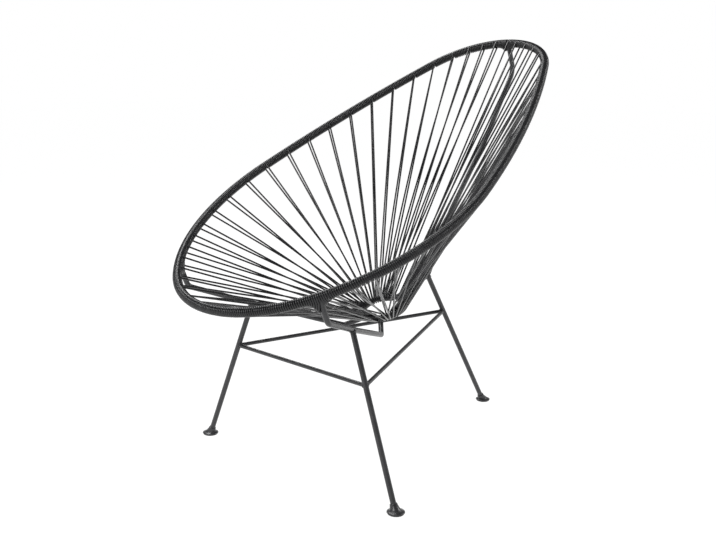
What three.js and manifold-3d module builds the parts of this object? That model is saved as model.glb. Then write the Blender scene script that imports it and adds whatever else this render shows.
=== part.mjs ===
// Lounge chair: a wound steel hoop laced with cord to a small centre ring, on three steel legs.
import * as THREE from "three";
import { mergeVertices } from "three/addons/utils/BufferGeometryUtils.js";
import Module from "manifold-3d";

const wasm = await Module();
wasm.setup();
const { degToRad, radToDeg } = THREE.MathUtils;

// Lengths are in millimetres and angles in degrees. X points to the sitter's left, Y to the back
// and Z up. Depths are measured back from the line through the front feet, heights from the floor.
// The head and the ring are set from the tops of the legs, which carry the seat.

// Stock and clearances
const tubeDiameter = 12;
const braceDiameter = 8;
const cordDiameter = 4;
const fitGap = 0.3;

// Hoop: each side is bent in three arcs from the head, and a fourth closes it at the front
const headRadius = 192;
const headSweep = 64;
const sideRadius = 1915;
const sideSweep = 15.5;
const armRadius = 443;
const armSweep = 61;
const hoopSlope = 29.3;
const hoopBow = 2.4;
const headDepth = 721;
const headRise = 586;

// Centre ring that all the cords run to
const ringRadius = 50;
const ringSlope = 18.1;
const ringDepth = 274.5;
const ringDrop = 23.5;

// Back spine, from the head of the hoop down behind the lacing to the back of the ring
const spineSetBack = 26.7;
const spineDrop = 66.6;
const spineTopBend = 40;
const spineLowBend = 20;
const spineWaveBend = 300;
const spineWaves = [3.4, -13.9];
const spineWaveShares = [0.37, 0.72];

// Ribs, from the front of the hoop over the front legs, inwards and up to the underside of the ring
const ribRootShare = 0.8215;
const ribDrop = 54.2;
const ribSetBack = 22.6;
const ribRingAngle = 143;
const ribRingDrop = 14;
const ribInnerOut = 29.9;
const ribInnerForward = 29.6;
const ribInnerDrop = 29.6;
const ribOuterBend = 20;
const ribInnerBend = 10;

// Legs and the triangle of braces between them: the rear leg is longer, and its brace joint higher
const frontFootSpacing = 600;
const rearFootDepth = 674;
const frontTopSpacing = 317;
const frontTopDepth = 15.3;
const rearTopDepth = 432.3;
const legTopHeight = 344;
const rearTopRise = 30;
const braceHeight = 237.8;
const rearBraceRise = 37.4;

// Feet: a domed plate with a socket for the leg, on a plastic glide
const footDiameter = 37;
const footEdge = 2.2;
const footDome = 4.2;
const socketBase = 21;
const socketTop = 15.5;
const socketHeight = 11;
const glideDiameter = 33;
const glideThickness = 2;
const footWall = 2;

// Lacing: shares of half the hoop's length, from the head, where each pair of cords leaves it
const headPairShares = [0.0236, 0.0493, 0.0771, 0.1086, 0.1479];
const shoulderPairShares = [0.1907, 0.2379, 0.2857, 0.3336];
const backPairShares = [0.3814, 0.4279, 0.475];
const armPairShares = [0.5236, 0.5714, 0.6214, 0.6664];
const hipPairShares = [0.7079, 0.7429, 0.7779, 0.8114];
const kneePairShares = [0.8443, 0.8786, 0.9129, 0.9479, 0.9821];
const middlePairOffset = 11;
const middlePairAngle = 12.5;
const firstPairAngle = 18;
const lastHipPairAngle = 136.5;
const backAngleEase = 1.1;
const firstKneePairAngle = 156;
const lastPairAngle = 174;
const pairSplit = 2.4;
const ringSplit = 5.8;
const weldRoom = 2;

// Winding on the hoop: ridges stand for its turns
const ridgePitch = 20;
const ridgeDepth = 1.3;

// Facets
const tubeSides = 10;
const hoopSides = 8;
const cordSides = 5;
const footSides = 24;
const socketSides = 16;
const ringSteps = 40;
const bendSteps = 5;
const wrapSteps = 4;
const hoopStepsPerSector = 6;

const headHeight = legTopHeight + headRise;
const ringHeight = legTopHeight - ringDrop;
const tubeRadius = tubeDiameter / 2;
const cordRadius = cordDiameter / 2;
const windRadius = tubeRadius + fitGap + cordRadius;
const sleeveRadius = windRadius + cordRadius;
const legClearRadius = tubeRadius + fitGap;
const weldHalfWidth = tubeRadius + weldRoom;

// Finishes
const steel = { color: 0x1b1b1d, roughness: 0.45, metalness: 0.3 };
const cordSkin = { color: 0x17181a, roughness: 0.4, metalness: 0 };
const glidePlastic = { color: 0x0e0e0f, roughness: 0.7, metalness: 0 };

const chair = new THREE.Group();

function addPart(name, geometry, finish) {
  const mesh = new THREE.Mesh(geometry, new THREE.MeshStandardMaterial(finish));
  mesh.name = name;
  chair.add(mesh);
}

// Solids: joins and cuts
function toSolid(geometry) {
  const bare = geometry.clone();
  bare.deleteAttribute("normal");
  bare.deleteAttribute("uv");
  const merged = mergeVertices(bare);
  const mesh = new wasm.Mesh({
    numProp: 3,
    vertProperties: new Float32Array(merged.attributes.position.array),
    triVerts: new Uint32Array(merged.index.array),
  });
  return new wasm.Manifold(mesh);
}

function toGeometry(solid) {
  const mesh = solid.getMesh();
  const geometry = new THREE.BufferGeometry();
  geometry.setAttribute("position", new THREE.BufferAttribute(new Float32Array(mesh.vertProperties), 3));
  geometry.setIndex(new THREE.BufferAttribute(new Uint32Array(mesh.triVerts), 1));
  geometry.computeVertexNormals();
  return geometry;
}

function cutBy(geometry, cutters) {
  let solid = toSolid(geometry);
  for (const cutter of cutters) solid = solid.subtract(toSolid(cutter));
  return toGeometry(solid);
}

// A surface from its corner points and its faces of three or four corners
function surface(points, faces) {
  const positions = points.flatMap((point) => point.toArray());
  const index = faces.flatMap(([a, b, c, d]) => (d === undefined ? [a, b, c] : [a, b, c, a, c, d]));
  const geometry = new THREE.BufferGeometry();
  geometry.setAttribute("position", new THREE.Float32BufferAttribute(positions, 3));
  geometry.setIndex(index);
  return geometry;
}

// A rod bent at its corners, each bend an arc of the given radius
class BentRod extends THREE.Curve {
  constructor(corners, bendRadii) {
    super();
    this.stations = [];
    corners.forEach((corner, i) => {
      const radius = bendRadii[i - 1];
      if (i === 0 || i === corners.length - 1 || !radius) this.addStraight(corners, i);
      else this.addBend(corners[i - 1], corner, corners[i + 1], radius);
    });
  }

  addStraight(corners, i) {
    const before = corners[Math.max(i - 1, 0)];
    const after = corners[Math.min(i + 1, corners.length - 1)];
    const incoming = corners[i].clone().sub(before).normalize();
    const outgoing = after.clone().sub(corners[i]).normalize();
    this.stations.push({ point: corners[i], tangent: incoming.add(outgoing).normalize() });
  }

  addBend(before, corner, after, radius) {
    const incoming = corner.clone().sub(before).normalize();
    const outgoing = after.clone().sub(corner).normalize();
    const turn = incoming.angleTo(outgoing);
    const setBack = radius * Math.tan(turn / 2);
    const start = corner.clone().addScaledVector(incoming, -setBack);
    const inward = outgoing.clone().addScaledVector(incoming, -incoming.dot(outgoing)).normalize();
    for (let i = 0; i <= bendSteps; i += 1) {
      const angle = (turn * i) / bendSteps;
      const point = start.clone()
        .addScaledVector(incoming, radius * Math.sin(angle))
        .addScaledVector(inward, radius * (1 - Math.cos(angle)));
      const tangent = new THREE.Vector3()
        .addScaledVector(incoming, Math.cos(angle))
        .addScaledVector(inward, Math.sin(angle));
      this.stations.push({ point, tangent });
    }
  }

  get steps() {
    return this.stations.length - 1;
  }

  getPointAt(share) {
    return this.stations[Math.round(share * this.steps)].point.clone();
  }

  getTangentAt(share) {
    return this.stations[Math.round(share * this.steps)].tangent.clone();
  }
}

function roundShape(radius, sides) {
  const corners = [];
  for (let i = 0; i < sides; i += 1) {
    const angle = (2 * Math.PI * i) / sides;
    corners.push(new THREE.Vector2(radius * Math.cos(angle), radius * Math.sin(angle)));
  }
  return new THREE.Shape(corners);
}

function rod(path, radius, sides) {
  return new THREE.ExtrudeGeometry(roundShape(radius, sides), { steps: path.steps, extrudePath: path });
}

// The same rod grown by the fit gap, to cut a neighbour back from it
function rodCutter(path, radius) {
  return rod(path, (radius + fitGap) / Math.cos(Math.PI / tubeSides), tubeSides);
}

function straight(from, to) {
  return new BentRod([from, to], []);
}

// Hoop outline, flat, as a chain of arcs
function bendArcs() {
  const arcs = [];
  let x = 0;
  let along = 0;
  let heading = 0;
  let start = 0;
  function bend(radius, sweep) {
    arcs.push({ x, along, heading, start, radius });
    x += radius * (Math.sin(heading + sweep) - Math.sin(heading));
    along += radius * (Math.cos(heading) - Math.cos(heading + sweep));
    heading += sweep;
    start += radius * sweep;
  }
  bend(headRadius, degToRad(headSweep));
  bend(sideRadius, degToRad(sideSweep));
  bend(armRadius, degToRad(armSweep));
  bend(x / Math.sin(heading), Math.PI - heading);
  return { arcs, length: along, half: start };
}

const outline = bendArcs();

// A place on the hoop's centre line, with its frame: distance is measured from the head down one side
function hoopAt(distance, side) {
  const arc = outline.arcs.findLast((one) => one.start <= distance);
  const heading = arc.heading + (distance - arc.start) / arc.radius;
  const x = arc.x + arc.radius * (Math.sin(heading) - Math.sin(arc.heading));
  const along = arc.along + arc.radius * (Math.cos(arc.heading) - Math.cos(heading));
  const headSlope = degToRad(hoopSlope + hoopBow);
  const slope = headSlope - (2 * degToRad(hoopBow) * along) / outline.length;
  const bowRadius = outline.length / (2 * degToRad(hoopBow));
  const point = new THREE.Vector3(
    side * x,
    headDepth - bowRadius * (Math.sin(headSlope) - Math.sin(slope)),
    headHeight - bowRadius * (Math.cos(slope) - Math.cos(headSlope)),
  );
  const tangent = new THREE.Vector3(
    side * Math.cos(heading),
    -Math.cos(slope) * Math.sin(heading),
    -Math.sin(slope) * Math.sin(heading),
  );
  const normal = new THREE.Vector3(0, -Math.sin(slope), Math.cos(slope));
  return { point, tangent, normal, across: new THREE.Vector3().crossVectors(normal, tangent) };
}

function aroundPlace(place, radius, angle) {
  return place.point.clone()
    .addScaledVector(place.normal, radius * Math.cos(angle))
    .addScaledVector(place.across, radius * Math.sin(angle));
}

function ringPlace(angle) {
  const turned = degToRad(angle);
  const backward = new THREE.Vector3(0, Math.cos(degToRad(ringSlope)), Math.sin(degToRad(ringSlope)));
  const outward = new THREE.Vector3(Math.sin(turned), 0, 0).addScaledVector(backward, Math.cos(turned));
  const tangent = new THREE.Vector3(Math.cos(turned), 0, 0).addScaledVector(backward, -Math.sin(turned));
  const point = new THREE.Vector3(0, ringDepth, ringHeight).addScaledVector(outward, ringRadius);
  return { point, tangent };
}

// Sectors of the lacing, from the head to the front on one side
const ribRoot = ribRootShare * outline.half;

function sectorEnds(earlier, later) {
  return ((earlier.at(-1) + later[0]) / 2) * outline.half;
}

function spread(first, last, count, ease = 1) {
  return Array.from({ length: count }, (_, i) => first + (last - first) * (i / (count - 1)) ** ease);
}

const backSets = [headPairShares, shoulderPairShares, backPairShares, armPairShares, hipPairShares];
const backAngles = spread(firstPairAngle, lastHipPairAngle, backSets.flat().length, backAngleEase);
const kneeAngles = spread(firstKneePairAngle, lastPairAngle, kneePairShares.length);
const sectorNames = ["head", "shoulder", "back", "arm", "hip", "knee"];
const pairSets = [...backSets, kneePairShares];
const pairAngles = [...backAngles, ...kneeAngles];

const sectors = sectorNames.map((name, i) => {
  const firstPair = pairSets.slice(0, i).flat().length;
  const pairs = pairSets[i].map((share, j) => ({
    distance: share * outline.half,
    angle: pairAngles[firstPair + j],
  }));
  let start = weldHalfWidth;
  let end = outline.half;
  if (i > 0) start = sectorEnds(pairSets[i - 1], pairSets[i]);
  if (i < pairSets.length - 1) end = sectorEnds(pairSets[i], pairSets[i + 1]);
  if (name === "hip") end = ribRoot - weldHalfWidth;
  if (name === "knee") start = ribRoot + weldHalfWidth;
  return { name, pairs, start, end };
});

// Places round the hoop where its facets meet, shared by the tube and the bore of its winding
function sectorStations(sector) {
  return spread(sector.start, sector.end, hoopStepsPerSector + 1);
}

const sideStations = sectors.flatMap((sector) => sectorStations(sector));
const hoopStations = [...new Set(sideStations)];

function makeHoop() {
  const left = hoopStations.map((distance) => hoopAt(distance, 1));
  const right = hoopStations.slice(0, -1).map((distance) => hoopAt(distance, -1));
  const places = [...left, ...right.reverse()];
  const points = [];
  places.forEach((place, i) => {
    const turnBack = i >= left.length ? -1 : 1;
    for (let j = 0; j < hoopSides; j += 1) {
      points.push(aroundPlace(place, tubeRadius, (2 * Math.PI * turnBack * j) / hoopSides));
    }
  });
  const faces = [];
  for (let i = 0; i < places.length; i += 1) {
    const next = (i + 1) % places.length;
    for (let j = 0; j < hoopSides; j += 1) {
      const after = (j + 1) % hoopSides;
      faces.push([
        i * hoopSides + j, next * hoopSides + j, next * hoopSides + after, i * hoopSides + after,
      ]);
    }
  }
  return surface(points, faces);
}

// One sector's winding: a sleeve whose outside is a thread, with ends square to the hoop
function makeSleeve(sector, side) {
  const start = sector.start + fitGap / 2;
  const end = sector.end - fitGap / 2;
  const turns = Math.round((end - start) / ridgePitch);
  const pitch = (end - start) / (turns + 1);
  const points = [];
  const add = (distance, radius, count) => {
    const angle = (2 * Math.PI * side * count) / hoopSides;
    return points.push(aroundPlace(hoopAt(distance, side), radius, angle)) - 1;
  };
  const crest = [];
  const trough = [];
  for (let n = 0; n <= turns * hoopSides; n += 1) {
    crest.push(add(start + pitch * (0.5 + n / hoopSides), sleeveRadius, n));
  }
  for (let n = 0; n <= (turns - 1) * hoopSides; n += 1) {
    trough.push(add(start + pitch * (1 + n / hoopSides), sleeveRadius - ridgeDepth, n));
  }
  const loop = (distance, radius) => Array.from({ length: hoopSides }, (_, j) => add(distance, radius, j));
  const faces = [];
  const lastTurn = (turns - 1) * hoopSides;
  for (let n = 0; n < lastTurn; n += 1) {
    faces.push([crest[n], crest[n + 1], trough[n + 1], trough[n]]);
    faces.push([trough[n], trough[n + 1], crest[n + hoopSides + 1], crest[n + hoopSides]]);
  }
  const startLoop = loop(start, sleeveRadius - ridgeDepth);
  const endLoop = loop(end, sleeveRadius - ridgeDepth);
  for (let j = 0; j < hoopSides; j += 1) {
    const after = (j + 1) % hoopSides;
    faces.push([startLoop[j], startLoop[after], crest[j + 1], crest[j]]);
    faces.push([crest[lastTurn + j], crest[lastTurn + j + 1], endLoop[after], endLoop[j]]);
  }
  faces.push([startLoop[0], crest[0], trough[0], crest[hoopSides]]);
  faces.push([crest[lastTurn], endLoop[0], crest[lastTurn + hoopSides], trough[lastTurn]]);
  const boreRadius = tubeRadius + fitGap / Math.cos(Math.PI / hoopSides);
  const inner = sectorStations(sector).slice(1, -1);
  const boreLoops = [start, ...inner, end].map((distance) => loop(distance, boreRadius));
  const rings = [startLoop, ...boreLoops, endLoop];
  for (let i = 0; i < rings.length - 1; i += 1) {
    for (let j = 0; j < hoopSides; j += 1) {
      const after = (j + 1) % hoopSides;
      faces.push([rings[i][j], rings[i + 1][j], rings[i + 1][after], rings[i][after]]);
    }
  }
  return surface(points, side > 0 ? faces.map((face) => face.reverse()) : faces);
}

// The upper side of a tube as seen along a cord that leaves it: square to the tube and to the cord
function cordSide(place, towards) {
  const upper = new THREE.Vector3().crossVectors(place.tangent, towards).normalize();
  return upper.z < 0 ? upper.negate() : upper;
}

// One pair: a cord from the top of the hoop, under the ring, round its inside and back from its
// top to the underside of the hoop, so that the two runs cross on their way
function makePair(pair, side) {
  const turn = side * radToDeg(ringSplit / 2 / ringRadius);
  const outPlace = hoopAt(pair.distance - pairSplit / 2, side);
  const backPlace = hoopAt(pair.distance + pairSplit / 2, side);
  const middle = ringPlace(side * pair.angle);
  const towardsRing = middle.point.clone().sub(outPlace.point);
  const outSide = cordSide(outPlace, towardsRing);
  const backSide = cordSide(backPlace, towardsRing);
  const upper = cordSide(middle, towardsRing);
  const towardsHoop = new THREE.Vector3().crossVectors(upper, middle.tangent).normalize();
  if (towardsHoop.dot(towardsRing) > 0) towardsHoop.negate();
  const corners = [outPlace.point.clone().addScaledVector(outSide, windRadius)];
  const cornerRadius = windRadius / Math.cos(Math.PI / (2 * wrapSteps));
  for (let i = 0; i < wrapSteps; i += 1) {
    const share = (i + 0.5) / wrapSteps;
    const angle = Math.PI * share;
    const place = ringPlace(side * pair.angle + turn * (2 * share - 1));
    corners.push(place.point
      .addScaledVector(upper, -cornerRadius * Math.cos(angle))
      .addScaledVector(towardsHoop, -cornerRadius * Math.sin(angle)));
  }
  corners.push(backPlace.point.clone().addScaledVector(backSide, -windRadius));
  for (const [end, next] of [[corners[0], corners[1]], [corners.at(-1), corners.at(-2)]]) {
    end.addScaledVector(end.clone().sub(next).normalize(), cordRadius);
  }
  return rod(new BentRod(corners, []), cordRadius, cordSides);
}

// Frame: hoop and ring
addPart("hoop", makeHoop(), steel);

function makeRing(radius) {
  const ring = new THREE.TorusGeometry(ringRadius, radius, tubeSides, ringSteps);
  ring.rotateX(degToRad(ringSlope));
  ring.translate(0, ringDepth, ringHeight);
  return ring;
}

const ringCutter = makeRing((tubeRadius + fitGap) / Math.cos(Math.PI / tubeSides));
addPart("centre_ring", makeRing(tubeRadius), steel);

function hoopCutter(distance, side) {
  const place = hoopAt(distance, side);
  const from = place.point.clone().addScaledVector(place.tangent, -2 * tubeDiameter);
  const to = place.point.clone().addScaledVector(place.tangent, 2 * tubeDiameter);
  return rodCutter(straight(from, to), tubeRadius);
}

// Frame: spine
const headPoint = hoopAt(0, 1).point;
const spineTop = new THREE.Vector3(0, headDepth + spineSetBack, headHeight - spineDrop);
const spineFoot = new THREE.Vector3(0, rearTopDepth, legTopHeight + rearTopRise);
const spineRun = spineFoot.clone().sub(spineTop);
const spineOff = new THREE.Vector3(0, -spineRun.z, spineRun.y).normalize();
const spineWavePoints = spineWaveShares.map((share, i) => spineTop.clone()
  .addScaledVector(spineRun, share)
  .addScaledVector(spineOff, spineWaves[i]));
const spinePath = new BentRod(
  [headPoint, spineTop, ...spineWavePoints, spineFoot, ringPlace(0).point],
  [spineTopBend, spineWaveBend, spineWaveBend, spineLowBend],
);
const spine = rod(spinePath, tubeRadius, tubeSides);
addPart("back_spine", cutBy(spine, [hoopCutter(0, 1), ringCutter]), steel);

// Frame: ribs, legs, feet and glides of the two sides
const rearLeg = {
  name: "rear",
  foot: new THREE.Vector3(0, rearFootDepth, 0),
  top: spineFoot,
  over: rodCutter(spinePath, tubeRadius),
  braceAt: braceHeight + rearBraceRise,
};
const legs = [rearLeg];

for (const [name, side] of [["left", 1], ["right", -1]]) {
  const top = new THREE.Vector3(side * frontTopSpacing / 2, frontTopDepth, legTopHeight);
  const root = hoopAt(ribRoot, side).point;
  const outerCorner = new THREE.Vector3(root.x, root.y + ribSetBack, root.z - ribDrop);
  const ringEnd = ringPlace(side * ribRingAngle).point;
  const underRing = new THREE.Vector3(ringEnd.x, ringEnd.y, ringEnd.z - ribRingDrop);
  const innerOffset = new THREE.Vector3(side * ribInnerOut, -ribInnerForward, -ribInnerDrop);
  const innerCorner = ringEnd.clone().add(innerOffset);
  const corners = [root, outerCorner, top, innerCorner, underRing, ringEnd];
  const path = new BentRod(corners, [ribOuterBend, 0, ribInnerBend, ribInnerBend]);
  const cutters = [hoopCutter(ribRoot, side), ringCutter];
  addPart(`rib_${name}`, cutBy(rod(path, tubeRadius, tubeSides), cutters), steel);
  const foot = new THREE.Vector3(side * frontFootSpacing / 2, 0, 0);
  const over = rodCutter(path, tubeRadius);
  legs.push({ name: `front_${name}`, foot, top, over, braceAt: braceHeight });
}

// Legs, each let into the socket of its foot
const footBase = glideThickness + fitGap;

for (const leg of legs) {
  const rise = leg.top.clone().sub(leg.foot).normalize();
  const lean = Math.sqrt(1 - rise.z * rise.z);
  const endHeight = footBase + footWall + fitGap + tubeRadius * lean;
  const end = leg.foot.clone().addScaledVector(rise, endHeight / rise.z);
  const boreEnd = end.clone().addScaledVector(rise, -fitGap);
  const aboveFoot = leg.foot.clone().addScaledVector(rise, 3 * socketHeight);
  addPart(`leg_${leg.name}`, cutBy(rod(straight(end, leg.top), tubeRadius, tubeSides), [leg.over]), steel);
  const plate = new THREE.LatheGeometry([
    new THREE.Vector2(0, 0),
    new THREE.Vector2(footDiameter / 2, 0),
    new THREE.Vector2(footDiameter / 2, footEdge),
    new THREE.Vector2(socketBase / 2, footDome),
    new THREE.Vector2(0, footDome),
  ], footSides);
  plate.rotateX(Math.PI / 2);
  plate.translate(leg.foot.x, leg.foot.y, footBase);
  const socket = new THREE.CylinderGeometry(socketTop / 2, socketBase / 2, socketHeight, socketSides);
  socket.translate(0, socketHeight / 2, 0);
  socket.applyQuaternion(new THREE.Quaternion().setFromUnitVectors(new THREE.Vector3(0, 1, 0), rise));
  const socketLift = footBase + footDome / 2 + (socketBase / 2) * lean;
  const socketFoot = leg.foot.clone().addScaledVector(rise, socketLift / rise.z);
  socket.translate(socketFoot.x, socketFoot.y, socketFoot.z);
  const bore = rod(straight(boreEnd, aboveFoot), legClearRadius / Math.cos(Math.PI / tubeSides), tubeSides);
  const footSolid = toSolid(plate).add(toSolid(socket)).subtract(toSolid(bore));
  addPart(`foot_${leg.name}`, toGeometry(footSolid), steel);
  const glide = new THREE.CylinderGeometry(glideDiameter / 2, glideDiameter / 2, glideThickness, footSides);
  glide.rotateX(Math.PI / 2);
  glide.translate(leg.foot.x, leg.foot.y, glideThickness / 2);
  addPart(`glide_${leg.name}`, glide, glidePlastic);
}

// Braces: a triangle of thin rods, welded between the legs
const [rearEnd, leftEnd, rightEnd] = legs.map((leg) => ({
  joint: leg.foot.clone().lerp(leg.top, leg.braceAt / leg.top.z),
  cutter: rodCutter(straight(leg.foot, leg.top), tubeRadius),
}));
const braceCutters = [];
const braceRuns = [["front", leftEnd, rightEnd], ["left", leftEnd, rearEnd], ["right", rightEnd, rearEnd]];
for (const [name, from, to] of braceRuns) {
  const path = straight(from.joint, to.joint);
  const brace = rod(path, braceDiameter / 2, tubeSides);
  addPart(`brace_${name}`, cutBy(brace, [from.cutter, to.cutter, ...braceCutters]), steel);
  braceCutters.push(rodCutter(path, braceDiameter / 2));
}

// Lacing: each sector is its stretch of winding with the pairs of cords that leave it
const middlePair = { distance: middlePairOffset, angle: middlePairAngle };
for (const [name, side] of [["left", 1], ["right", -1]]) {
  for (const sector of sectors) {
    let solid = toSolid(makeSleeve(sector, side));
    const pairs = sector.name === "head" && side > 0 ? [middlePair, ...sector.pairs] : sector.pairs;
    for (const pair of pairs) solid = solid.add(toSolid(makePair(pair, side)));
    addPart(`lacing_${sector.name}_${name}`, toGeometry(solid), cordSkin);
  }
}

// The origin is on the floor, under the middle of the chair
const box = new THREE.Box3().setFromObject(chair);
const middle = box.getCenter(new THREE.Vector3());
chair.position.set(-middle.x, -middle.y, -box.min.z);

export default chair;
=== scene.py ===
import math

import bpy
import numpy as np
from mathutils import Matrix, Quaternion, Vector


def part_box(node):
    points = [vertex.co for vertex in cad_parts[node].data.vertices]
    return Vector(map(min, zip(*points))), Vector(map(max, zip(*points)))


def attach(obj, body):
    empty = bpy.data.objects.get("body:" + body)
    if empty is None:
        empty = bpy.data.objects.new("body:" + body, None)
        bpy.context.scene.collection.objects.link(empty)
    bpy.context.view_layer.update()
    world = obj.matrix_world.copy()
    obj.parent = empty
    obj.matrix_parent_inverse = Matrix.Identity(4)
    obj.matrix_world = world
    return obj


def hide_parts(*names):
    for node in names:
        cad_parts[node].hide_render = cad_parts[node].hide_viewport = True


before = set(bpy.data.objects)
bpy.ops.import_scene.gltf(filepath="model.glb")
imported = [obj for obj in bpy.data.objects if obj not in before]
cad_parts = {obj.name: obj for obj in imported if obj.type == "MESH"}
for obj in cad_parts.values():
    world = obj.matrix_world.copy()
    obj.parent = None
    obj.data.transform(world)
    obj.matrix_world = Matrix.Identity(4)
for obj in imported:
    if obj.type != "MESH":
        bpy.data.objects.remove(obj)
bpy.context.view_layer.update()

# Camera. It stands in front of the chair on the sitter's left, a little lower than the head of the hoop,
# and looks slightly down across the seat. Its place is measured from the line of the front feet.
glide_low, glide_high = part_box("glide_front_left")
front_feet_y = (glide_low.y + glide_high.y) / 2
camera_place = Vector((1.4840, front_feet_y - 1.3254, 0.8459))
camera_yaw = math.radians(44.380)
camera_pitch = math.radians(11.368)
camera_roll = math.radians(0.763)

ahead = Vector((
    -math.sin(camera_yaw) * math.cos(camera_pitch),
    math.cos(camera_yaw) * math.cos(camera_pitch),
    -math.sin(camera_pitch),
))
level = Vector((math.cos(camera_yaw), math.sin(camera_yaw), 0.0))
upward = level.cross(ahead)
camera_right = math.cos(camera_roll) * level + math.sin(camera_roll) * upward
camera_up = math.cos(camera_roll) * upward - math.sin(camera_roll) * level

lens = bpy.data.cameras.new("camera")
lens.sensor_width = 36.0
lens.lens = 48.63
lens.clip_start = 0.05
lens.clip_end = 60.0
camera = bpy.data.objects.new("camera", lens)
axes = Matrix((camera_right, camera_up, -ahead)).transposed()
camera.matrix_world = Matrix.Translation(camera_place) @ axes.to_4x4()
bpy.context.scene.collection.objects.link(camera)
bpy.context.scene.camera = camera
bpy.context.scene.view_settings.view_transform = "Standard"


# Room. A plain white floor that runs on to the horizon, a sky that is white low down and dark overhead, and
# three soft lamps: a long one overhead on the sitter's right, a square one in front and one behind.
def link_nodes(tree, *pairs):
    for source, target in pairs:
        tree.links.new(source, target)


def seen_or_mirrored(tree):
    path = tree.nodes.new("ShaderNodeLightPath")
    first = tree.nodes.new("ShaderNodeMath")
    first.operation = "MAXIMUM"
    second = tree.nodes.new("ShaderNodeMath")
    second.operation = "MAXIMUM"
    link_nodes(
        tree,
        (path.outputs["Is Camera Ray"], first.inputs[0]),
        (path.outputs["Is Glossy Ray"], first.inputs[1]),
        (first.outputs[0], second.inputs[0]),
        (path.outputs["Is Transmission Ray"], second.inputs[1]),
    )
    return second.outputs[0]


sky_strength = 0.20
ceiling_strength = 0.12
sky = bpy.data.worlds.new("studio")
bpy.context.scene.world = sky
sky.use_nodes = True
sky_nodes = sky.node_tree
sky_nodes.nodes.clear()
sky_light = sky_nodes.nodes.new("ShaderNodeBackground")
sky_light.inputs["Color"].default_value = (0.96, 0.98, 1.0, 1.0)
sky_light.inputs["Strength"].default_value = sky_strength
sky_white = sky_nodes.nodes.new("ShaderNodeBackground")
sky_white.inputs["Color"].default_value = (1.0, 1.0, 1.0, 1.0)
sky_way = sky_nodes.nodes.new("ShaderNodeTexCoord")
sky_height = sky_nodes.nodes.new("ShaderNodeSeparateXYZ")
sky_fade = sky_nodes.nodes.new("ShaderNodeMapRange")
sky_fade.interpolation_type = "SMOOTHSTEP"
sky_fade.inputs["From Min"].default_value = 0.12
sky_fade.inputs["From Max"].default_value = 0.40
sky_fade.inputs["To Min"].default_value = 1.0
sky_fade.inputs["To Max"].default_value = ceiling_strength
sky_mix = sky_nodes.nodes.new("ShaderNodeMixShader")
sky_out = sky_nodes.nodes.new("ShaderNodeOutputWorld")
link_nodes(
    sky_nodes,
    (sky_way.outputs["Generated"], sky_height.inputs["Vector"]),
    (sky_height.outputs["Z"], sky_fade.inputs["Value"]),
    (sky_fade.outputs["Result"], sky_white.inputs["Strength"]),
    (seen_or_mirrored(sky_nodes), sky_mix.inputs[0]),
    (sky_light.outputs[0], sky_mix.inputs[1]),
    (sky_white.outputs[0], sky_mix.inputs[2]),
    (sky_mix.outputs[0], sky_out.inputs["Surface"]),
)

floor_reach = 24.0
floor_mesh = bpy.data.meshes.new("floor")
floor_mesh.from_pydata(
    [(x * floor_reach, y * floor_reach, 0.0) for x, y in ((-1, -1), (1, -1), (1, 1), (-1, 1))],
    [],
    [(0, 1, 2, 3)],
)
floor = bpy.data.objects.new("floor", floor_mesh)
bpy.context.scene.collection.objects.link(floor)
floor_paint = bpy.data.materials.new("white_floor")
floor_paint.use_nodes = True
floor_nodes = floor_paint.node_tree
floor_nodes.nodes.clear()
floor_matt = floor_nodes.nodes.new("ShaderNodeBsdfDiffuse")
floor_matt.inputs["Color"].default_value = (0.80, 0.80, 0.80, 1.0)
floor_shade = floor_nodes.nodes.new("ShaderNodeBsdfDiffuse")
floor_shade.inputs["Color"].default_value = (0.12, 0.12, 0.12, 1.0)
floor_glow = floor_nodes.nodes.new("ShaderNodeEmission")
floor_glow.inputs["Strength"].default_value = 0.975
floor_seen = floor_nodes.nodes.new("ShaderNodeAddShader")
floor_mix = floor_nodes.nodes.new("ShaderNodeMixShader")
floor_out = floor_nodes.nodes.new("ShaderNodeOutputMaterial")
link_nodes(
    floor_nodes,
    (floor_shade.outputs[0], floor_seen.inputs[0]),
    (floor_glow.outputs[0], floor_seen.inputs[1]),
    (seen_or_mirrored(floor_nodes), floor_mix.inputs[0]),
    (floor_matt.outputs[0], floor_mix.inputs[1]),
    (floor_seen.outputs[0], floor_mix.inputs[2]),
    (floor_mix.outputs[0], floor_out.inputs["Surface"]),
)
floor.data.materials.append(floor_paint)

for lamp_name, lamp_place, lamp_length, lamp_width, long_way, lamp_power in (
    ("overhead_lamp", (-1.35, 0.13, 2.75), 3.0, 0.9, (-0.73, 0.53, -0.45), 68.0),
    ("front_lamp", (0.2, -2.6, 2.2), 1.2, 1.2, (1.0, 0.0, 0.0), 50.0),
    ("back_lamp", (1.6, 2.6, 2.4), 1.2, 1.2, (1.0, 0.0, 0.0), 40.0),
):
    lamp = bpy.data.lights.new(lamp_name, "AREA")
    lamp.shape = "RECTANGLE"
    lamp.size = lamp_length
    lamp.size_y = lamp_width
    lamp.energy = lamp_power
    lamp_object = bpy.data.objects.new(lamp_name, lamp)
    away_from_chair = (Vector(lamp_place) - Vector((0.0, 0.0, 0.4))).normalized()
    lamp_side = (Vector(long_way) - away_from_chair * away_from_chair.dot(Vector(long_way))).normalized()
    lamp_axes = Matrix((lamp_side, away_from_chair.cross(lamp_side), away_from_chair)).transposed()
    lamp_object.matrix_world = Matrix.Translation(lamp_place) @ lamp_axes.to_4x4()
    bpy.context.scene.collection.objects.link(lamp_object)


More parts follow.
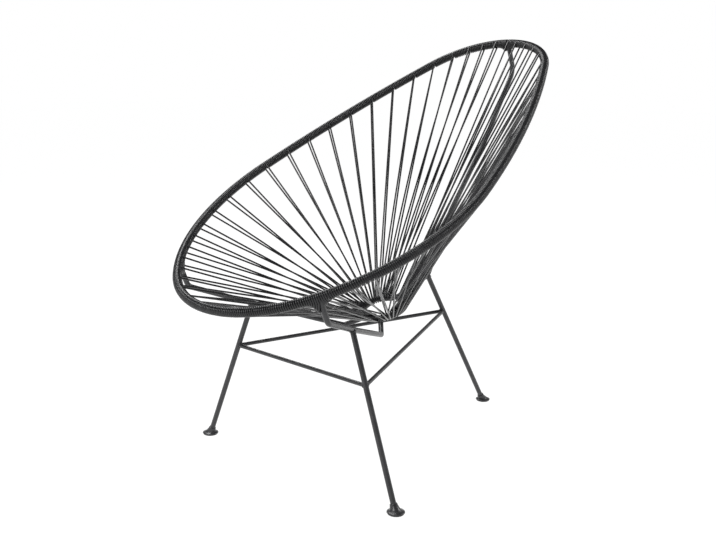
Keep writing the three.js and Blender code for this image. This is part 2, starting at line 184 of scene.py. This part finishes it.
# Hoop. One closed tube of 12 mm steel, egg-shaped, bent in arcs that flow into each other and bowed a
# little so that it lies in a shallow curve. It is powder coated and carries the winding.
rod_radius = 0.006
hoop_bends = ((0.192, 64.0), (1.915, 15.5), (0.443, 61.0))
hoop_slope = math.radians(29.3)
hoop_bow = math.radians(2.4)
head_y = front_feet_y + 0.721
head_z = 0.930

hoop_arcs = []
arc_x = arc_along = arc_heading = arc_start = 0.0
for bend_radius, bend_degrees in (*hoop_bends, (None, None)):
    if bend_radius is None:
        bend_radius = arc_x / math.sin(arc_heading)
        sweep = math.pi - arc_heading
    else:
        sweep = math.radians(bend_degrees)
    hoop_arcs.append((arc_x, arc_along, arc_heading, arc_start, bend_radius))
    arc_x += bend_radius * (math.sin(arc_heading + sweep) - math.sin(arc_heading))
    arc_along += bend_radius * (math.cos(arc_heading) - math.cos(arc_heading + sweep))
    arc_heading += sweep
    arc_start += bend_radius * sweep
hoop_arcs = np.array(hoop_arcs)
hoop_length = arc_along
hoop_half = arc_start


def hoop_at(distance, side):
    """Centre line and direction of the hoop at distances from the head down one side."""
    distance = np.atleast_1d(np.asarray(distance, float))
    arc = hoop_arcs[np.searchsorted(hoop_arcs[1:, 3], distance, side="right")]
    heading = arc[:, 2] + (distance - arc[:, 3]) / arc[:, 4]
    x = arc[:, 0] + arc[:, 4] * (np.sin(heading) - np.sin(arc[:, 2]))
    along = arc[:, 1] + arc[:, 4] * (np.cos(arc[:, 2]) - np.cos(heading))
    head_angle = hoop_slope + hoop_bow
    slope = head_angle - 2 * hoop_bow * along / hoop_length
    bow_radius = hoop_length / (2 * hoop_bow)
    centre = np.stack([
        side * x,
        head_y - bow_radius * (math.sin(head_angle) - np.sin(slope)),
        head_z - bow_radius * (np.cos(slope) - math.cos(head_angle)),
    ], axis=1)
    run = np.stack([
        side * np.cos(heading),
        -np.cos(slope) * np.sin(heading),
        -np.sin(slope) * np.sin(heading),
    ], axis=1)
    return centre, run


def grow_tube_tree():
    """A tube grown along the edges of a mesh, thicker or thinner by the mesh's own thickness."""
    tree = bpy.data.node_groups.new("tube_along_path", "GeometryNodeTree")
    tree.interface.new_socket("Geometry", in_out="INPUT", socket_type="NodeSocketGeometry")
    radius = tree.interface.new_socket("Tube Radius", in_out="INPUT", socket_type="NodeSocketFloat")
    sides = tree.interface.new_socket("Sides", in_out="INPUT", socket_type="NodeSocketInt")
    finish = tree.interface.new_socket("Finish", in_out="INPUT", socket_type="NodeSocketMaterial")
    tree.interface.new_socket("Geometry", in_out="OUTPUT", socket_type="NodeSocketGeometry")
    entry = tree.nodes.new("NodeGroupInput")
    leave = tree.nodes.new("NodeGroupOutput")
    to_curve = tree.nodes.new("GeometryNodeMeshToCurve")
    thickness = tree.nodes.new("GeometryNodeInputNamedAttribute")
    thickness.data_type = "FLOAT"
    thickness.inputs["Name"].default_value = "thickness"
    set_radius = tree.nodes.new("GeometryNodeSetCurveRadius")
    place = tree.nodes.new("GeometryNodeSplineParameter")
    keep_along = tree.nodes.new("GeometryNodeStoreNamedAttribute")
    keep_along.data_type = "FLOAT"
    keep_along.domain = "POINT"
    keep_along.inputs["Name"].default_value = "along"
    circle = tree.nodes.new("GeometryNodeCurvePrimitiveCircle")
    turn = tree.nodes.new("GeometryNodeSplineParameter")
    keep_around = tree.nodes.new("GeometryNodeStoreNamedAttribute")
    keep_around.data_type = "FLOAT"
    keep_around.domain = "POINT"
    keep_around.inputs["Name"].default_value = "around"
    to_mesh = tree.nodes.new("GeometryNodeCurveToMesh")
    to_mesh.inputs["Fill Caps"].default_value = True
    smooth = tree.nodes.new("GeometryNodeSetShadeSmooth")
    realize = tree.nodes.new("GeometryNodeRealizeInstances")
    paint = tree.nodes.new("GeometryNodeSetMaterial")
    link_nodes(
        tree,
        (entry.outputs["Geometry"], to_curve.inputs["Mesh"]),
        (to_curve.outputs["Curve"], set_radius.inputs["Curve"]),
        (thickness.outputs["Attribute"], set_radius.inputs["Radius"]),
        (set_radius.outputs["Curve"], keep_along.inputs["Geometry"]),
        (place.outputs["Length"], keep_along.inputs["Value"]),
        (entry.outputs["Tube Radius"], circle.inputs["Radius"]),
        (entry.outputs["Sides"], circle.inputs["Resolution"]),
        (circle.outputs["Curve"], keep_around.inputs["Geometry"]),
        (turn.outputs["Factor"], keep_around.inputs["Value"]),
        (keep_along.outputs["Geometry"], to_mesh.inputs["Curve"]),
        (keep_around.outputs["Geometry"], to_mesh.inputs["Profile Curve"]),
        (to_mesh.outputs["Mesh"], smooth.inputs["Geometry"]),
        (smooth.outputs["Geometry"], realize.inputs["Geometry"]),
        (realize.outputs["Geometry"], paint.inputs["Geometry"]),
        (entry.outputs["Finish"], paint.inputs["Material"]),
        (paint.outputs["Geometry"], leave.inputs["Geometry"]),
    )
    return tree, radius.identifier, sides.identifier, finish.identifier


tube_tree, tube_radius_input, tube_sides_input, tube_finish_input = grow_tube_tree()


def tube_piece(name, paths, radius, sides, finish, closed=False):
    """One piece made of tubes along the given paths, each a list of points and their thicknesses."""
    points, edges, thicknesses = [], [], []
    for path, thickness in paths:
        first = len(points)
        count = len(path)
        points.extend(tuple(point) for point in path)
        edges.extend((first + i, first + i + 1) for i in range(count - 1))
        if closed:
            edges.append((first + count - 1, first))
        thicknesses.extend(np.broadcast_to(thickness, count))
    mesh = bpy.data.meshes.new(name + "_path")
    mesh.from_pydata(points, edges, [])
    mesh.attributes.new("thickness", "FLOAT", "POINT").data.foreach_set("value", np.array(thicknesses, float))
    path_object = bpy.data.objects.new(name + "_path", mesh)
    bpy.context.scene.collection.objects.link(path_object)
    grow = path_object.modifiers.new("grow", "NODES")
    grow.node_group = tube_tree
    grow[tube_radius_input] = radius
    grow[tube_sides_input] = sides
    grow[tube_finish_input] = finish
    depsgraph = bpy.context.evaluated_depsgraph_get()
    finished = bpy.data.meshes.new_from_object(path_object.evaluated_get(depsgraph))
    bpy.data.objects.remove(path_object)
    finished.name = name
    piece = bpy.data.objects.new(name, finished)
    bpy.context.scene.collection.objects.link(piece)
    return piece


def noise_on(tree, coordinates, scale, detail=2.0):
    noise = tree.nodes.new("ShaderNodeTexNoise")
    noise.inputs["Scale"].default_value = scale
    noise.inputs["Detail"].default_value = detail
    link_nodes(tree, (coordinates, noise.inputs["Vector"]))
    return noise.outputs["Fac"]


def between(tree, share, low, high):
    spread = tree.nodes.new("ShaderNodeMapRange")
    spread.inputs["From Min"].default_value = 0.3
    spread.inputs["From Max"].default_value = 0.7
    spread.inputs["To Min"].default_value = low
    spread.inputs["To Max"].default_value = high
    link_nodes(tree, (share, spread.inputs["Value"]))
    return spread.outputs["Result"]


def colour_between(tree, share, low, high):
    ramp = tree.nodes.new("ShaderNodeValToRGB")
    ramp.color_ramp.elements[0].position = 0.32
    ramp.color_ramp.elements[0].color = (*low, 1.0)
    ramp.color_ramp.elements[1].position = 0.68
    ramp.color_ramp.elements[1].color = (*high, 1.0)
    link_nodes(tree, (share, ramp.inputs["Fac"]))
    return ramp.outputs["Color"]


def bumped(tree, share, strength, depth):
    bump = tree.nodes.new("ShaderNodeBump")
    bump.inputs["Strength"].default_value = strength
    bump.inputs["Distance"].default_value = depth
    link_nodes(tree, (share, bump.inputs["Height"]))
    return bump.outputs["Normal"]


powder_coat = bpy.data.materials.new("black_powder_coat")
powder_coat.use_nodes = True
coat_nodes = powder_coat.node_tree
coat_shader = coat_nodes.nodes["Principled BSDF"]
coat_shader.inputs["Metallic"].default_value = 0.0
coat_shader.inputs["Specular IOR Level"].default_value = 0.5
coat_place = coat_nodes.nodes.new("ShaderNodeTexCoord").outputs["Object"]
link_nodes(
    coat_nodes,
    (
        colour_between(coat_nodes, noise_on(coat_nodes, coat_place, 24.0, 4.0),
                       (0.030, 0.030, 0.032), (0.046, 0.046, 0.049)),
        coat_shader.inputs["Base Color"],
    ),
    (between(coat_nodes, noise_on(coat_nodes, coat_place, 90.0), 0.26, 0.38), coat_shader.inputs["Roughness"]),
    (bumped(coat_nodes, noise_on(coat_nodes, coat_place, 900.0), 0.25, 0.0002), coat_shader.inputs["Normal"]),
)

hoop_step = 0.008
hoop_sides = 16
half_steps = round(hoop_half / hoop_step)
half_distances = np.linspace(0.0, hoop_half, half_steps + 1)
hoop_line = np.concatenate([hoop_at(half_distances, 1)[0], hoop_at(half_distances[1:-1], -1)[0][::-1]])
hoop = tube_piece("steel_hoop", [(hoop_line, 1.0)], rod_radius, hoop_sides, powder_coat, closed=True)
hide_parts("hoop")
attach(hoop, "root")

# Centre ring. A ring of the same tube, tilted back a little under the seat. Every run of cord ends on it.
ring_radius = 0.050
ring_slope = math.radians(18.1)
ring_centre = np.array([0.0, front_feet_y + 0.2745, 0.3205])
ring_steps = 96
smooth_sides = 24


def ring_at(angle):
    """Centre line and direction of the ring, at an angle from its back towards the sitter's left."""
    angle = np.asarray(angle, float)
    back = np.array([0.0, math.cos(ring_slope), math.sin(ring_slope)])
    left = np.array([1.0, 0.0, 0.0])
    sine, cosine = np.sin(angle)[..., None], np.cos(angle)[..., None]
    return ring_centre + ring_radius * (sine * left + cosine * back), cosine * left - sine * back


ring_line = ring_at(np.linspace(0.0, 2 * math.pi, ring_steps, endpoint=False))[0]
ring = tube_piece("steel_ring", [(ring_line, 1.0)], rod_radius, smooth_sides, powder_coat, closed=True)
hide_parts("centre_ring")
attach(ring, "root")

# Spine and ribs. Rods of the same steel, bent cold, that hang the hoop and the ring from the legs: the
# spine runs down behind the lacing, and each rib dips under the front of the hoop and comes up under the
# ring. The spine's bows give the share of its run and how far it stands off there.
bend_steps = 10
spine_bends = (0.040, 0.300, 0.300, 0.020)
spine_bows = ((0.37, 0.0034), (0.72, -0.0139))
rib_distance = 0.8215 * hoop_half
rib_ring_angle = math.radians(143.0)
rib_bends = (0.020, 0.030, 0.010, 0.010)
rib_drop = Vector((0.0, 0.0226, -0.0542))
rib_ring_drop = Vector((0.0, 0.0, 0.014))
weld_depth = rod_radius / 2


def bent_line(corners, radii):
    """Points along a rod with an arc of the given radius at each inner corner."""
    corners = [Vector(corner) for corner in corners]
    points = [corners[0]]
    for before, corner, after, radius in zip(corners, corners[1:], corners[2:], radii):
        arriving = (corner - before).normalized()
        leaving = (after - corner).normalized()
        turn = arriving.angle(leaving)
        start = corner - arriving * (radius * math.tan(turn / 2))
        inward = (leaving - arriving * arriving.dot(leaving)).normalized()
        for i in range(bend_steps + 1):
            angle = turn * i / bend_steps
            forward = radius * math.sin(angle)
            sideways = radius * (1 - math.cos(angle))
            points.append(start + arriving * forward + inward * sideways)
    points.append(corners[-1])
    return points


def drawn_back(line, length):
    """The same line, ended a little before its last point, so that it stays inside what it is welded to."""
    end = line[-1] + (line[-2] - line[-1]).normalized() * length
    return [*line[:-1], end]


head_point = Vector(hoop_at(0.0, 1)[0][0])
spine_top = Vector((0.0, head_y + 0.0267, head_z - 0.0666))
spine_foot = Vector((0.0, front_feet_y + 0.4323, 0.374))
spine_run = spine_foot - spine_top
spine_off = Vector((0.0, -spine_run.z, spine_run.y)).normalized()
spine_corners = [
    head_point,
    spine_top,
    *[spine_top + spine_run * share + spine_off * bow for share, bow in spine_bows],
    spine_foot,
    Vector(ring_at(0.0)[0]),
]
spine_line = drawn_back(bent_line(spine_corners, spine_bends), weld_depth)
spine = tube_piece("steel_spine", [(spine_line, 1.0)], rod_radius, smooth_sides, powder_coat)
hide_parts("back_spine")
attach(spine, "root")

rib_lines = {}
leg_tops = {"rear": spine_foot}
for side_name, side in (("left", 1), ("right", -1)):
    root = Vector(hoop_at(rib_distance, side)[0][0])
    leg_top = Vector((side * 0.1585, front_feet_y + 0.0153, 0.344))
    outer_corner = root + rib_drop
    ring_end = Vector(ring_at(side * rib_ring_angle)[0])
    under_ring = ring_end - rib_ring_drop
    inner_corner = ring_end + Vector((side * 0.0299, -0.0296, -0.0296))
    rib_corners = [root, outer_corner, leg_top, inner_corner, under_ring, ring_end]
    rib_line = drawn_back(bent_line(rib_corners, rib_bends), weld_depth)
    rib = tube_piece(f"steel_rib_{side_name}", [(rib_line, 1.0)], rod_radius, smooth_sides, powder_coat)
    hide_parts(f"rib_{side_name}")
    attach(rib, "root")
    rib_lines[side_name] = rib_corners
    leg_tops[f"front_{side_name}"] = leg_top

# Legs. Three straight rods of the same steel. Their tops are welded under the bends of the spine and the
# ribs, and their lower ends stand in the necks of the feet.
feet = {
    "rear": Vector((0.0, front_feet_y + 0.674, 0.0)),
    "front_left": Vector((0.300, front_feet_y, 0.0)),
    "front_right": Vector((-0.300, front_feet_y, 0.0)),
}
leg_end_height = 0.006
for leg_name, foot_point in feet.items():
    rise = (leg_tops[leg_name] - foot_point).normalized()
    lower_end = foot_point + rise * (leg_end_height / rise.z)
    leg_line = drawn_back([lower_end, leg_tops[leg_name]], rod_radius / 3)
    leg = tube_piece(f"steel_leg_{leg_name}", [(leg_line, 1.0)], rod_radius, smooth_sides, powder_coat)
    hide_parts(f"leg_{leg_name}")
    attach(leg, "root")

# Braces. Three thinner rods of the same steel. They are welded between the legs as a triangle that lies a
# little higher at the rear, and keep the legs from spreading.
brace_radius = 0.0044
brace_heights = {"rear": 0.2752, "front_left": 0.2378, "front_right": 0.2378}
brace_joints = {
    name: foot_point.lerp(leg_tops[name], brace_heights[name] / leg_tops[name].z)
    for name, foot_point in feet.items()
}
brace_ends = {
    "front": ("front_left", "front_right"),
    "left": ("front_left", "rear"),
    "right": ("front_right", "rear"),
}
for brace_name, (start_leg, end_leg) in brace_ends.items():
    brace_path = ([brace_joints[start_leg], brace_joints[end_leg]], 1.0)
    brace = tube_piece(f"steel_brace_{brace_name}", [brace_path], brace_radius, smooth_sides, powder_coat)
    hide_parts(f"brace_{brace_name}")
    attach(brace, "root")

# Weld beads. Where one rod ends on another, a thin bead of weld runs round the joint, rippled by the steps
# in which it was laid and painted over with the frame.
bead_radius = 0.0015
bead_off_end = bead_radius * 0.3
bead_off_rod = bead_radius * 0.2
bead_sides = 10
bead_points = 80
bead_ripple = 0.14
bead_pitch = 0.0022


def bead_line(joint, outward, end_radius, along, through_radius):
    """The closed line where a rod that ends on another meets its surface."""
    outward, along = outward.normalized(), along.normalized()
    first = outward.orthogonal().normalized()
    second = outward.cross(first)
    line = []
    for i in range(bead_points):
        angle = 2 * math.pi * i / bead_points
        around = first * math.cos(angle) + second * math.sin(angle)
        offset = around * (end_radius + bead_off_end)
        flat_offset = offset - along * offset.dot(along)
        flat_run = outward - along * outward.dot(along)
        a = flat_run.dot(flat_run)
        b = flat_offset.dot(flat_run)
        c = flat_offset.dot(flat_offset) - (through_radius + bead_off_rod) ** 2
        reach = (-b + math.sqrt(max(b * b - a * c, 0.0))) / a
        line.append(joint + offset + outward * reach)
    return line


spine_end = spine_corners[-1]
bead_joints = [
    (spine_end, spine_foot - spine_end, rod_radius, Vector((1.0, 0.0, 0.0)), rod_radius),
    (spine_foot, feet["rear"] - spine_foot, rod_radius, spine_end - spine_foot, rod_radius),
]
for side_name, side in (("left", 1), ("right", -1)):
    root, outer_corner, leg_top, inner_corner, under_ring, ring_end = rib_lines[side_name]
    ring_run = Vector(ring_at(side * rib_ring_angle)[1])
    bead_joints.append((ring_end, under_ring - ring_end, rod_radius, ring_run, rod_radius))
    bead_joints.append((leg_top, feet[f"front_{side_name}"] - leg_top, rod_radius, inner_corner - outer_corner,
                        rod_radius))
for start_leg, end_leg in brace_ends.values():
    for near, far in ((start_leg, end_leg), (end_leg, start_leg)):
        bead_joints.append((brace_joints[near], brace_joints[far] - brace_joints[near], brace_radius,
                            leg_tops[near] - feet[near], rod_radius))

bead_paths = []
for joint in bead_joints:
    line = bead_line(*joint)
    bead_length = sum((line[i] - line[i - 1]).length for i in range(bead_points))
    ripples = round(bead_length / bead_pitch)
    swell = 1.0 + bead_ripple * np.abs(np.sin(np.arange(bead_points) * math.pi * ripples / bead_points))
    bead_paths.append((line, swell))
beads = tube_piece("weld_beads", bead_paths, bead_radius, bead_sides, powder_coat, closed=True)
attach(beads, "root")

# Feet. Each is a thin domed steel plate whose neck leans with the leg and grips its end, painted with the
# frame. The profile gives each ring's radius, its height, and how far it leans with the leg.
foot_sides = 48
plate_floor = 0.0023
neck_shift = 0.2
foot_profile = (
    (0.0010, 0.0000, 0.0),
    (0.0168, 0.0000, 0.0),
    (0.0180, 0.0003, 0.0),
    (0.0185, 0.0010, 0.0),
    (0.0185, 0.0020, 0.0),
    (0.0181, 0.0027, 0.0),
    (0.0172, 0.0032, 0.02),
    (0.0150, 0.0040, 0.06),
    (0.0125, 0.0052, 0.16),
    (0.0108, 0.0068, 0.34),
    (0.0098, 0.0088, 0.60),
    (0.0089, 0.0112, 0.88),
    (0.0081, 0.0142, 1.00),
    (0.0078, 0.0158, 1.00),
    (0.0074, 0.0166, 1.00),
    (0.0068, 0.0169, 1.00),
    (0.0058, 0.0169, 1.00),
)


def turned_piece(name, rings, finish):
    """A round body from rings of points, closed by a point at each end."""
    points = [point for ring_points in rings for point in ring_points]
    first_centre = len(points)
    points.append(sum(rings[0], Vector()) / len(rings[0]))
    points.append(sum(rings[-1], Vector()) / len(rings[-1]))
    count = len(rings[0])
    last = (len(rings) - 1) * count
    faces = [
        (k * count + i, k * count + (i + 1) % count, (k + 1) * count + (i + 1) % count, (k + 1) * count + i)
        for k in range(len(rings) - 1) for i in range(count)
    ]
    faces += [(first_centre, (i + 1) % count, i) for i in range(count)]
    faces += [(first_centre + 1, last + i, last + (i + 1) % count) for i in range(count)]
    mesh = bpy.data.meshes.new(name)
    mesh.from_pydata(points, [], faces)
    mesh.polygons.foreach_set("use_smooth", [True] * len(faces))
    mesh.materials.append(finish)
    piece = bpy.data.objects.new(name, mesh)
    bpy.context.scene.collection.objects.link(piece)
    return piece


def round_points(centre, radius, tilt, sides):
    angles = [2 * math.pi * i / sides for i in range(sides)]
    return [centre + tilt @ Vector((radius * math.cos(a), radius * math.sin(a), 0.0)) for a in angles]


for leg_name, foot_point in feet.items():
    rise = (leg_tops[leg_name] - foot_point).normalized()
    lean = Vector((0.0, 0.0, 1.0)).rotation_difference(rise)
    rings = []
    for ring_size, height, leaning in foot_profile:
        level_height = plate_floor + height
        on_leg = foot_point + rise * (level_height / rise.z)
        towards_leg = min(1.0, leaning + neck_shift * bool(leaning))
        centre = Vector((foot_point.x, foot_point.y, level_height)).lerp(on_leg, towards_leg)
        tilt = Quaternion().slerp(lean, leaning)
        rings.append(round_points(centre, ring_size, tilt, foot_sides))
    plate = turned_piece(f"foot_plate_{leg_name}", rings, powder_coat)
    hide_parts(f"foot_{leg_name}")
    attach(plate, "root")

# Glides. A thin moulded disc of matt black plastic under each foot plate keeps the steel off the floor. Its
# rim is rounded.
glide_plastic = bpy.data.materials.new("matt_black_plastic")
glide_plastic.use_nodes = True
glide_nodes = glide_plastic.node_tree
glide_shader = glide_nodes.nodes["Principled BSDF"]
glide_place = glide_nodes.nodes.new("ShaderNodeTexCoord").outputs["Object"]
link_nodes(
    glide_nodes,
    (
        colour_between(glide_nodes, noise_on(glide_nodes, glide_place, 160.0),
                       (0.014, 0.014, 0.014), (0.026, 0.026, 0.026)),
        glide_shader.inputs["Base Color"],
    ),
    (between(glide_nodes, noise_on(glide_nodes, glide_place, 300.0), 0.62, 0.78),
     glide_shader.inputs["Roughness"]),
    (bumped(glide_nodes, noise_on(glide_nodes, glide_place, 2200.0), 0.3, 0.0001),
     glide_shader.inputs["Normal"]),
)
glide_profile = (
    (0.0010, 0.0),
    (0.0158, 0.0),
    (0.0165, 0.0004),
    (0.0165, 0.0017),
    (0.0162, 0.0020),
    (0.0010, 0.0020),
)
for leg_name, foot_point in feet.items():
    rings = [
        round_points(foot_point + Vector((0.0, 0.0, height)), ring_size, Quaternion(), foot_sides)
        for ring_size, height in glide_profile
    ]
    glide = turned_piece(f"glide_disc_{leg_name}", rings, glide_plastic)
    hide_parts(f"glide_{leg_name}")
    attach(glide, "root")

# Cord. One round black plastic cord is wound tightly round the hoop. At each station it leaves the top of the
# winding, runs under the ring, turns up round its inside, and comes back from its top to the underside of the
# hoop, so that the two runs of a pair cross.
cord_radius = 0.002
wind_radius = 0.0081
wind_pitch = 0.00412
close_pitch = 0.00404
wind_start = 0.0012
wind_steps = 22
wrap_steps = 12
cord_sides = 10
pair_split = 0.0024
ring_split = 0.0058
corner_reach = 0.0016
last_part_turn = 0.8
pair_unevenness = 0.0006
angle_unevenness = 0.004
turn_unevenness = 0.00012
head_ring_angle = math.radians(10.0)
pair_shares = {
    "head": (0.0236, 0.0493, 0.0771, 0.1086, 0.1479),
    "shoulder": (0.1907, 0.2379, 0.2857, 0.3336),
    "back": (0.3814, 0.4279, 0.475),
    "arm": (0.5236, 0.5714, 0.6214, 0.6664),
    "hip": (0.7079, 0.7429, 0.7779, 0.8114),
    "knee": (0.8443, 0.8786, 0.9129, 0.9479, 0.9821),
}
all_shares = np.array([share for shares in pair_shares.values() for share in shares])
knee_pairs = len(pair_shares["knee"])
back_pairs = len(all_shares) - knee_pairs
pair_distances = all_shares * hoop_half
pair_angles = np.radians(np.concatenate([
    18.0 + 118.5 * np.linspace(0.0, 1.0, back_pairs) ** 1.1,
    np.linspace(156.0, 174.0, knee_pairs),
]))
middle_pair = (0.0065, math.radians(11.5))
sector_ends = []
sector_names = list(pair_shares)
for earlier, later in zip(sector_names, sector_names[1:]):
    if later == "knee":
        sector_ends.append(rib_distance)
    else:
        sector_ends.append((pair_shares[earlier][-1] + pair_shares[later][0]) / 2 * hoop_half)
sector_ends.append(hoop_half)

# Where a rod leaves the hoop the turns part round it, and those beside it hang down along the rod's flank.
# Each joint has its place, the way that they hang, and by how much and how far from the rod they do so on
# the side of the head and on the side of the front.
parting_reach = 0.027
parting_faces = (0.0, 0.75)
hanging_faces = (-0.5, 0.9)
lashing_room = rod_radius + cord_radius + 0.0003
spine_way = np.array((spine_top - head_point).normalized())
rod_joints = {}
for side_name, side, head_hang, head_reach, rib_headward, rib_frontward in (
    ("left", 1, 0.011, 0.011, (0.009, 0.018), (0.023, 0.014)),
    ("right", -1, 0.011, 0.015, (0.008, 0.018), (0.015, 0.027)),
):
    root, outer_corner = rib_lines[side_name][:2]
    rib_way = np.array((outer_corner - root).normalized())
    rod_joints[side] = (
        (0.0, spine_way, (0.0, 0.009), (head_hang, head_reach)),
        (rib_distance, rib_way, rib_headward, rib_frontward),
    )


def smooth_step(low, high, value):
    share = np.clip((value - low) / (high - low), 0.0, 1.0)
    return share * share * (3 - 2 * share)


def unit(vectors):
    return vectors / np.linalg.norm(vectors, axis=-1, keepdims=True)


def winding_frame(distance, side):
    """The hoop's centre line with three axes: along it, square to it towards the ring, and up."""
    centre, run = hoop_at(distance, side)
    target = np.interp(distance, [0.0, *pair_distances, hoop_half], [head_ring_angle, *pair_angles, math.pi])
    to_ring = ring_at(side * target)[0] - centre
    inner = unit(to_ring - run * np.sum(to_ring * run, axis=1, keepdims=True))
    top = np.cross(run, inner)
    top *= np.sign(top[:, 2:3])
    return centre, run, inner, top


def wound(distance, angle, side):
    """Points of the winding: the angle runs from the top over the inner side to the underside."""
    distance, angle = np.atleast_1d(distance).astype(float), np.atleast_1d(angle).astype(float)
    centre, run, inner, top = winding_frame(distance, side)
    cosine, sine = np.cos(angle)[:, None], np.sin(angle)[:, None]
    spot = cosine * top + sine * inner
    points = centre + wind_radius * spot
    for joint_distance, direction, headward, frontward in rod_joints[side]:
        away = distance - joint_distance
        near = np.abs(away)
        across = unit(direction - run * (run @ direction)[:, None])
        facing = np.sum(spot * across, axis=1)
        hang_depth = np.where(away < 0, headward[0], frontward[0])
        hang_reach = np.where(away < 0, headward[1], frontward[1])
        hang = hang_depth * np.exp(-((near / hang_reach) ** 2))
        part = np.where(away < 0, -1.0, 1.0) * (np.sqrt(near ** 2 + lashing_room ** 2) - near)
        part *= np.exp(-((near / parting_reach) ** 2))
        points = points + direction * (hang * smooth_step(*hanging_faces, facing))[:, None]
        points = points + run * (part * smooth_step(*parting_faces, facing))[:, None]
    return points


def rounded(before, corner, after):
    """A few points that round off a corner of the cord."""
    start = corner + unit(before - corner) * corner_reach
    end = corner + unit(after - corner) * corner_reach
    return [(1 - t) ** 2 * start + 2 * t * (1 - t) * corner + t * t * end for t in (0.0, 0.25, 0.5, 0.75, 1.0)]


def cord_side(run, towards):
    side_way = np.cross(run, towards)
    side_way /= np.linalg.norm(side_way)
    return side_way if side_way[2] > 0 else -side_way


def ring_wrap(hoop_point, angle, side):
    """The cord's way under, round the inside of and over the ring."""
    middle, run = ring_at(side * angle)
    towards_ring = middle - hoop_point
    up = cord_side(run, towards_ring)
    towards_hoop = np.cross(up, run)
    towards_hoop /= np.linalg.norm(towards_hoop)
    if towards_hoop @ towards_ring > 0:
        towards_hoop = -towards_hoop
    shares = np.linspace(0.0, 1.0, wrap_steps)
    turns = math.pi * shares
    spread = side * (ring_split / ring_radius) * (shares - 0.5)
    centres = ring_at(side * angle + spread)[0]
    return centres - wind_radius * (np.cos(turns)[:, None] * up + np.sin(turns)[:, None] * towards_hoop)


def laced_line(side):
    """The whole cord of one side, with the distance from the head that each of its points belongs to.

    Towards the front its turns close up square to the hoop, each stepping on underneath, so that the last
    turns of the two sides lie flat against each other.
    """
    random = np.random.default_rng(11 + side)
    pairs = list(zip(pair_distances, pair_angles))
    if side > 0:
        pairs.insert(0, middle_pair)
    points, places = [], []
    here, angle_here = wind_start, math.pi
    for distance, ring_angle in [*pairs, (None, None)]:
        if distance is None:
            leave = hoop_half - wind_pitch / 2
            turns = round((leave - here) / wind_pitch)
            last_angle = math.pi + 2 * math.pi * (turns + last_part_turn)
        else:
            distance += random.uniform(-pair_unevenness, pair_unevenness)
            ring_angle += random.uniform(-angle_unevenness, angle_unevenness)
            leave = distance - pair_split / 2
            turns = max(1, math.floor((leave - here) / close_pitch + 0.5))
            last_angle = 2 * math.pi * turns
        count = max(3, round((last_angle - angle_here) / (2 * math.pi) * wind_steps)) + 1
        angles = np.linspace(angle_here, last_angle, count)
        distances = np.linspace(here, leave, count)
        knots = np.linspace(0.0, 1.0, max(3, turns + 1))
        knot_wobble = random.uniform(-turn_unevenness, turn_unevenness, len(knots))
        wobble = np.interp(np.linspace(0.0, 1.0, count), knots, knot_wobble)
        wobble *= np.sin(np.linspace(0.0, math.pi, count)) ** 0.5
        if distance is None:
            wound_turns = (angles - math.pi) / (2 * math.pi)
            whole_turns = np.floor(wound_turns)
            square_turns = whole_turns + smooth_step(last_part_turn, 1.0, wound_turns - whole_turns)
            squared = smooth_step(0.0, turns - 1.0, wound_turns)
            distances = here + (leave - here) / turns * ((1 - squared) * wound_turns + squared * square_turns)
        turn_points = wound(distances + wobble, angles, side)
        if distance is None:
            points.extend(turn_points)
            places.extend(distances)
            break
        exit_point = turn_points[-1]
        wrap = ring_wrap(exit_point, ring_angle, side)
        comeback = wound(distance + pair_split / 2, math.pi, side)[0]
        next_point = wound(distance + pair_split / 2 + wind_pitch / wind_steps * 3,
                           math.pi + 6 * math.pi / wind_steps, side)[0]
        trip = [
            *turn_points[:-2],
            *rounded(turn_points[-3], exit_point, wrap[0]),
            *wrap,
            *rounded(wrap[-1], comeback, next_point),
        ]
        points.extend(trip)
        places.extend([*distances[:-2], *[distance] * (len(trip) - len(turn_points) + 2)])
        here = distance + pair_split / 2
        angle_here = math.pi
    return np.array(points), np.array(places)


cord_plastic = bpy.data.materials.new("black_cord_plastic")
cord_plastic.use_nodes = True
cord_nodes = cord_plastic.node_tree
cord_shader = cord_nodes.nodes["Principled BSDF"]
cord_shader.inputs["Specular IOR Level"].default_value = 0.5
cord_place = cord_nodes.nodes.new("ShaderNodeTexCoord").outputs["Object"]
along_cord = cord_nodes.nodes.new("ShaderNodeAttribute")
along_cord.attribute_name = "along"
around_cord = cord_nodes.nodes.new("ShaderNodeAttribute")
around_cord.attribute_name = "around"
drawn_lines = cord_nodes.nodes.new("ShaderNodeCombineXYZ")
link_nodes(
    cord_nodes,
    (along_cord.outputs["Fac"], drawn_lines.inputs["X"]),
    (around_cord.outputs["Fac"], drawn_lines.inputs["Y"]),
)
link_nodes(
    cord_nodes,
    (
        colour_between(cord_nodes, noise_on(cord_nodes, cord_place, 55.0, 4.0),
                       (0.010, 0.010, 0.011), (0.020, 0.020, 0.022)),
        cord_shader.inputs["Base Color"],
    ),
    (between(cord_nodes, noise_on(cord_nodes, cord_place, 210.0, 3.0), 0.17, 0.27),
     cord_shader.inputs["Roughness"]),
    (bumped(cord_nodes, noise_on(cord_nodes, drawn_lines.outputs["Vector"], 42.0, 2.0), 0.10, 0.0003),
     cord_shader.inputs["Normal"]),
)

for side_name, side in (("left", 1), ("right", -1)):
    cord_points, cord_places = laced_line(side)
    starts = [0, *[int(np.searchsorted(cord_places, end)) for end in sector_ends[:-1]], len(cord_points) - 1]
    for sector_name, first, last in zip(sector_names, starts, starts[1:]):
        lengths = [(cord_points[first:last + 1], 1.0)]
        lacing = tube_piece(f"cord_{sector_name}_{side_name}", lengths, cord_radius, cord_sides, cord_plastic)
        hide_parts(f"lacing_{sector_name}_{side_name}")
        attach(lacing, "root")
